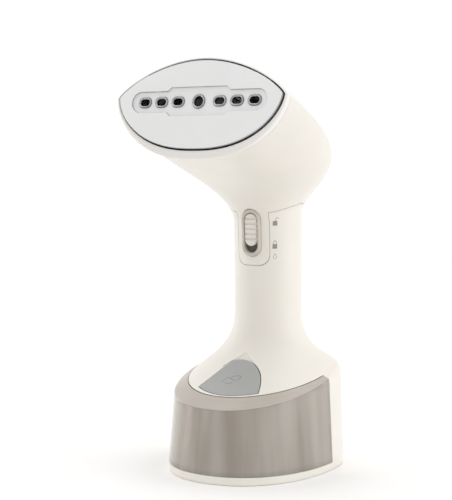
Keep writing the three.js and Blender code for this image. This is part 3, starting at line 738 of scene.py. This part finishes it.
# ------------------------------------------------------------------------------------------
# Filler flap. A cool grey moulded door, hinged at its foot, whose face carries on the line of the
# flare. It closes the hole that the tank is filled through.
# ------------------------------------------------------------------------------------------
cool_grey, cool_surface = new_material("cool grey matt ABS", IOR=1.5)
mottled(cool_grey, cool_surface, ("A4A5A3", "A9AAA8"), 0.03, (0.42, 0.52), 0.0005, 0.000012)

FLAP_WALL = 2
skirt_rows = [(on_flare, t) for t in steps(30)] + [(on_handle, 0.1)]
flap = sweep("flap_door", skirt_rows, 112)
carve(flap, prism("flap_tool", grown(flap_outline, -gap), -15, 15, filler_place), "INTERSECT")
carve(flap, sweep("flap_inside", skirt_rows, 112, FLAP_WALL))
paint(flap, cool_grey, "filler_flap", "flap")

# ------------------------------------------------------------------------------------------
# Water tank. It fills the front of the base and is drawn forward to be filled at the tap. It is blow-moulded from
# smoked SAN: light goes into the wall, which shows grey-brown. Its colour drifts in soft upright lighter and
# darker streaks, painted highlights that stand in for the streaky reflections up the wall.
# ------------------------------------------------------------------------------------------
smoked, smoked_surface = new_material("smoked SAN", IOR=1.55, Transmission_Weight=0.64,
                                      Coat_Weight=0.5, Coat_Roughness=0.06)
# the upright streaks in the colour are painted highlights: lighter bands up the wall stand in for reflections
mottled(smoked, smoked_surface, ("CFC4B7", "EAE2D7"), 0.016, (0.16, 0.24), 0.0006, 0.000008, upright=16)
# a lighter, less clear copy of the smoked plastic for the rim: the rim is thicker, and its lighter colour is
# painted light where its top faces up
rim_san_painted_lit, rim_san_lit_surface = new_material("smoked SAN rim, painted lighter on top", IOR=1.55, Transmission_Weight=0.2,
                                        Coat_Weight=0.2)
mottled(rim_san_painted_lit, rim_san_lit_surface, ("C6BCB1", "CDC4BA"), 0.05, (0.3, 0.36), 0.0006, 0.000008)

TANK_TOP, TANK_WALL, FILL_HOLE = 51.0, 2.2, 9


def rim_column(name, grow, low):
    """The room of the funnel, straight up through the tank's top."""
    station = (RIM[0], 0, RIM[2] + grow, RIM[3] + grow, 90, 0, 0)
    return wrap(name, 2, 112, lambda row, turn: on_tilted(station, turn) + Vector((0, 0, (low, 110)[row] * mm)))


def tank_part(name, rows, inset, y, z):
    part = sweep(name, rows, 112, inset)
    carve(part, slab("tank_tool", (-80, -120, z), (80, y, 100), foot_place), "INTERSECT")
    return part


def tank_roof(t, turn, inset):
    """The hollow's last section, drawn in so that the roof keeps its thickness under the edge."""
    return on_tilted(mix(FOOT, CREST, t), turn, inset + 1)


low_wall = [(on_wall, t) for t in (0, 0.1, 0.3, 0.6, 0.85)]
tank = tank_part("tank_shell", low_wall + [(on_wall, t) for t in steps(20, SHOULDER)],
                 0, SPLIT_Y - gap, BAND_TOP + gap)
carve(tank, rim_column("column_tool", gap, TANK_TOP))
hollow = tank_part("tank_hollow", low_wall + [(on_wall, 0.92), (tank_roof, 0.95)],
                   TANK_WALL, SPLIT_Y - gap - TANK_WALL, BAND_TOP + gap + TANK_WALL)
carve(hollow, rim_column("column_tool", gap + TANK_WALL, TANK_TOP - TANK_WALL))
carve(tank, hollow)
fill_place = Matrix.Translation(place(0, -47, 0))
carve(tank, prism("fill_tool", circle(FILL_HOLE), TANK_TOP - 5, TANK_TOP + 5, fill_place))
carve(tank, prism("valve_tool", circle(VALVE_HOLE), -4, 6, facing_back(SPLIT_Y - 2, VALVE_Z)))
paint(tank, smoked, "water_tank", "tank")
tank.data.materials.append(rim_san_painted_lit)
# the rim's faces that point up take the lighter copy: painted light on the upward faces
for face in tank.data.polygons:
    y, z = face.center.y - handle_y, face.center.z
    if face.normal.z > 0.6 and z > (RIM[1] - 4.5) * mm + RIM[5] * y:
        face.material_index = 1

# ------------------------------------------------------------------------------------------
# Power button and its light. A dished round cap that stands out of the handle's back, with a
# small frosted light pipe in its middle.
# ------------------------------------------------------------------------------------------


def turned(name, profile, matrix, sides=64):
    """A round solid: profile gives its radii and heights in millimetres."""
    return layers(name, [(circle(max(radius, 1e-5), sides), height) for radius, height in profile], matrix)


button_place = facing_back(17.2, POWER_Z)
button_profile = [(0, 0), (10.2, 0), (10.2, 1.4), (8.5, 1.4), (8.5, 7.0), (8.35, 7.6), (7.9, 7.95), (7.3, 8.0),
                  (5.5, 7.75), (4, 7.6), (2.7, 7.6), (2.55, 7.4), (2.55, 7.0), (0, 7.0)]
button = turned("power_cap", button_profile, button_place)
paint(button, warm_grey, "power_button", "power")

frosted, frosted_surface = new_material("frosted clear acrylic", IOR=1.49, Transmission_Weight=0.6)
mottled(frosted, frosted_surface, ("E4E8EA", "EEF1F2"), 0.002, (0.3, 0.4), 0.0003, 0.000005)
pipe_profile = [(0, 7.1), (2.2, 7.1), (2.2, 7.8), (2.0, 8.02), (1.2, 8.1), (0, 8.1)]
light_pipe = turned("light_pipe", pipe_profile, button_place, 40)
paint(light_pipe, frosted, "button_lens", "power")

# ------------------------------------------------------------------------------------------
# Cord gland. A white nylon bush screwed in the back of the base, with gripping ribs round it and
# a tapered nose with an open bore for the mains lead.
# ------------------------------------------------------------------------------------------
nylon, nylon_surface = new_material("white moulded nylon", IOR=1.53, Subsurface_Weight=0.05,
                                    Subsurface_Scale=0.002)
mottled(nylon, nylon_surface, ("DEDCD6", "E6E4DF"), 0.02, (0.38, 0.48), 0.0005, 0.000008)
gland_profile = [(2.9, 0), (10, 0), (10, 3), (7, 3), (7, 7.1), (6.7, 7.25), (6.7, 7.6), (7, 7.75), (7, 8.3),
                 (6.7, 8.8), (5.5, 10.7), (5.1, 11), (3.4, 11), (2.9, 10.6), (2.9, 0)]
gland = turned("gland_bush", gland_profile, facing_back(38.4, GLAND_Z))
paint(gland, nylon, "cord_gland", "housing")

# ------------------------------------------------------------------------------------------
# Bottom plate, feet and screws. A flat ivory cover closes the base; four soft feet are pressed
# in its holes, and four cross-head screws hold it.
# ------------------------------------------------------------------------------------------
BOTTOM_LOW = 1.6
cover_outline = []
for i in range(128):
    point = on_tilted((FOOT[0], 0, *FOOT[2:]), 2 * math.pi * i / 128, wall + 3 * gap)
    cover_outline.append((point.x / mm, (point.y - handle_y) / mm))
cover_edge = ((-0.5, 0), (-0.15, 0.12), (0, 0.45), (0, 1.8))
cover_rings = [(grown(cover_outline, grow), BOTTOM_LOW + up) for grow, up in cover_edge]
cover = layers("base_cover", cover_rings, foot_place)
FOOT_HOLE, SCREW_HOLE, VENTS = 4.3, 3.4, 7
FEET = ((-26, -70), (26, -70), (-26, 29), (26, 29))
SCREWS = ((-34, -56), (34, -56), (-34, 22), (34, 22))
for spots, radius in ((FEET, FOOT_HOLE), (SCREWS, SCREW_HOLE)):
    for x, y in spots:
        carve(cover, prism("hole_tool", circle(radius), 0, 5, Matrix.Translation(place(x, y, 0))))
for i in range(VENTS):
    carve(cover, prism("vent_tool", stadium(1.6, 22, 10), 0, 5, Matrix.Translation(place(i * 4 - 12, 14, 0))))
paint(cover, ivory, "bottom_plate", "housing")

foot_rubber, rubber_surface = new_material("pale thermoplastic rubber", IOR=1.5)
mottled(foot_rubber, rubber_surface, ("B4ADA3", "BBB4AA"), 0.003, (0.7, 0.85), 0.0004, 0.00002)
foot_profile = [(0, 0.25), (2.6, 0.25), (3.0, 0), (3.6, 0), (3.9, 0.25), (4, 0.6), (4, 2.1), (0, 2.1)]
for i, (x, y) in enumerate(FEET):
    foot = turned(f"rubber_foot_{i + 1}", foot_profile, Matrix.Translation(place(x, y, 0)), 40)
    paint(foot, foot_rubber, f"foot_{i + 1}", "housing")

drawn_steel, drawn_surface = new_material("zinc-plated steel", Metallic=1.0)
mottled(drawn_steel, drawn_surface, ("9C9EA1", "ACAEB1"), 0.003, (0.28, 0.42), 0.0003, 0.00001)
screw_profile = [(0, 1.75), (2.2, 1.75), (2.85, 2.0), (3, 2.25), (3, 2.6), (1.3, 2.6), (1.3, 4.4), (0, 4.4)]
for i, (x, y) in enumerate(SCREWS):
    spot = Matrix.Translation(place(x, y, 0))
    screw = turned(f"cover_screw_{i + 1}", screw_profile, spot, 32)
    for half_x, half_y in ((1.5, 0.3), (0.3, 1.5)):
        carve(screw, slab("cross_tool", (-half_x, -half_y, 1), (half_x, half_y, 2.35), spot))
    paint(screw, drawn_steel, f"base_screw_{i + 1}", "housing")

# ------------------------------------------------------------------------------------------
# Printed marks. Pad-printed grey line pictures: an open and a closed lock and a drop beside the
# slide, and a tilted jug on the flap. They are plain generic signs.
# ------------------------------------------------------------------------------------------
ink, ink_surface = new_material("grey printing ink", IOR=1.5)
mottled(ink, ink_surface, ("8E8A84", "98948E"), 0.001, (0.5, 0.6), 0.0003, 0.000004)
flap_ink, flap_ink_surface = new_material("dark printing ink", IOR=1.5)
mottled(flap_ink, flap_ink_surface, ("6A6B6A", "727372"), 0.001, (0.5, 0.6), 0.0003, 0.000004)


def printed_line(name, points, matrix, width, material, node_body):
    """A flat line of ink along points given on the local plane, laid on the skin."""
    spots = [on_skin(matrix, x, y) for x, y in points]

    def where(row, turn):
        point, normal = spots[row]
        along = (spots[min(row + 1, len(spots) - 1)][0] - spots[max(row - 1, 0)][0])
        if along.length < 1e-6:
            along = spots[1][0] - spots[0][0]
        side = along.normalized().cross(normal)
        return point + side * (width / 2 * math.cos(turn) * mm) + normal * (0.05 * math.sin(turn) * mm)

    line = wrap(name, len(points), 8, where)
    line.data.materials.append(material)
    smooth(line)
    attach(line, node_body)


def arc_points(x, y, rx, ry, first, last, count=16):
    return [(x + rx * math.cos(math.radians(mix(first, last, i / count))),
             y + ry * math.sin(math.radians(mix(first, last, i / count)))) for i in range(count + 1)]


def drop_points(x, y, half, height):
    """A drop with its tip up, closed."""
    tip = (x, y + height / 2)
    turns = [math.radians(degrees) for degrees in range(-120, 121, 15)]
    low = [(x + half * math.sin(turn), y - height * 0.2 - half * math.cos(turn)) for turn in turns]
    return [tip] + low[::-1] + [tip]


def beside_slide(z):
    """A local frame on the handle's side, turned 40 degrees from its front."""
    upright = Matrix.Rotation(math.radians(40), 4, "Z") @ Matrix.Rotation(math.pi / 2, 4, "X")
    return Matrix.Translation(place(15.4, -18.4, z)) @ upright


def printed_on_handle(name, points, z, width):
    printed_line(name, points, beside_slide(z), width, ink, "housing")


for name, z, hinge in (("mark_unlocked", 173.0, 1.3), ("mark_locked", 156.7, 0)):
    printed_on_handle(f"{name}_body", [(-1.55, -2.2), (-1.55, 0.9)], z, 0.5)
    for i in range(5):
        x = -1.2 + 0.6 * i
        printed_on_handle(f"{name}_fill_{i + 1}", [(x, -2.25), (x, -0.6), (x, 0.95)], z, 0.72)
    bow = [(hinge - 1.05, 0.9)] + arc_points(hinge, 2.1, 1.05, 1.25, 180, 15 if hinge else 0)
    if not hinge:
        bow.append((1.05, 0.9))
    printed_on_handle(f"{name}_bow", bow, z, 0.4)
printed_on_handle("mark_steam", drop_points(0, 0, 1.15, 3.6), 149.3, 0.28)


def printed_on_flap(name, points):
    """A line of straight strokes on the flap, each in five steps so that it follows the skin."""
    fine = [mix(p, q, i / 5) for p, q in zip(points, points[1:]) for i in range(5)] + [points[-1]]
    printed_line(name, fine, filler_place, 0.36, flap_ink, "flap")


printed_on_flap("mark_fill_side", [(-6.2, -7.6), (-4.9, -4.6), (-2.9, -1.6)])
printed_on_flap("mark_fill_jug", [(-1.8, -2.6), (1.6, 0.4), (4.6, 1.0), (6.6, -0.6), (5.0, -3.0), (3.4, -4.2),
                                  (-1.8, -2.6)])
printed_on_flap("mark_fill_foot", [(-3.4, -7.4), (-1.2, -8.0), (1.2, -7.8), (2.4, -5.6)])

# ------------------------------------------------------------------------------------------
# The pieces kept as they were cut: heat shield, trigger, steam chamber, pump, hoses, valve,
# funnel and the rest. Each gets the finish of its own material.
# ------------------------------------------------------------------------------------------
silicone, silicone_surface = new_material("black silicone rubber", IOR=1.43)
mottled(silicone, silicone_surface, ("0F0F0F", "161616"), 0.01, (0.6, 0.75), 0.0005, 0.00001)
dark_abs, dark_surface = new_material("black moulded ABS", IOR=1.5)
mottled(dark_abs, dark_surface, ("1B1A1A", "222120"), 0.01, (0.4, 0.5), 0.0005, 0.00001)
trigger_abs, trigger_surface = new_material("dark grey moulded ABS", IOR=1.5)
mottled(trigger_abs, trigger_surface, ("4E4A43", "57534B"), 0.01, (0.4, 0.5), 0.0005, 0.00001)
cast, cast_surface = new_material("die-cast aluminium", Metallic=1.0)
mottled(cast, cast_surface, ("B2B4B8", "C2C4C8"), 0.006, (0.4, 0.6), 0.0008, 0.00003)
brass, brass_surface = new_material("turned brass", Metallic=1.0)
mottled(brass, brass_surface, ("B8924A", "C9A35A"), 0.003, (0.22, 0.34), 0.0003, 0.000008)
copper, copper_surface = new_material("enamelled copper winding", Metallic=0.9, Coat_Weight=0.4)
mottled(copper, copper_surface, ("8E4E28", "A05C32"), 0.001, (0.25, 0.4), 0.0006, 0.00006)
board, board_surface = new_material("green solder resist", IOR=1.55, Coat_Weight=0.3)
mottled(board, board_surface, ("123F24", "1A4C2C"), 0.004, (0.3, 0.45), 0.001, 0.00002)
hose, hose_surface = new_material("clear silicone hose", IOR=1.43, Transmission_Weight=0.7)
mottled(hose, hose_surface, ("E6E3DC", "EEEBE4"), 0.006, (0.25, 0.35), 0.0008, 0.00001)

finishes = {
    silicone: ("heat_shield", "flap_seal", "funnel_seal", "spigot_seal", "valve_poppet"),
    trigger_abs: ("steam_trigger",),
    dark_abs: ("trigger_switch", "power_switch", "wire_loom"),
    cast: ("steam_chamber", "chamber_cover"),
    drawn_steel: ("heating_element", "pump_plunger", "suction_filter"),
    nylon: ("thermostat", "thermal_fuse", "pump_body", "pump_cap", "tank_spigot", "tank_valve", "filler_funnel"),
    brass: ("hose_barb",),
    copper: ("pump_coil",),
    board: ("control_board",),
    hose: ("water_hose", "inlet_hose", "suction_tube"),
}
for material, nodes in finishes.items():
    for node in nodes:
        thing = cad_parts[node]
        thing.data.materials.clear()
        thing.data.materials.append(material)

# ------------------------------------------------------------------------------------------
# Coil springs, of zinc-plated wire. A spring shortens as its part presses it; each here is a copy of its CAD
# spring with the steel finish, on the body it rides on.
# ------------------------------------------------------------------------------------------
LOW_END, HIGH_END = 0, 1
for node, rides_on, joint, along, fixed_end, keep in (
    ("trigger_spring", "housing", "trigger_press", (0, 0.999, 0.045), HIGH_END, 0.64),
    ("pump_spring", "housing", "pump_stroke", (0, 0, 1), LOW_END, 0.2),
    ("valve_spring", "tank", "valve_open", (0, 1, 0), LOW_END, 0.5),
):
    coil = bpy.data.objects.new(node + "_coil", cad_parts[node].data.copy())
    bpy.context.collection.objects.link(coil)
    select_only(coil)
    bpy.ops.object.mode_set(mode="EDIT")
    bpy.ops.mesh.select_all(action="SELECT")
    bpy.ops.mesh.remove_doubles(threshold=1e-6)
    bpy.ops.object.mode_set(mode="OBJECT")
    coil.data.materials.clear()
    paint(coil, drawn_steel, node, rides_on)
    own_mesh(coil)

# The skin was only the pattern that the shells were cut from.
bpy.data.objects.remove(body)
bpy.context.view_layer.update()
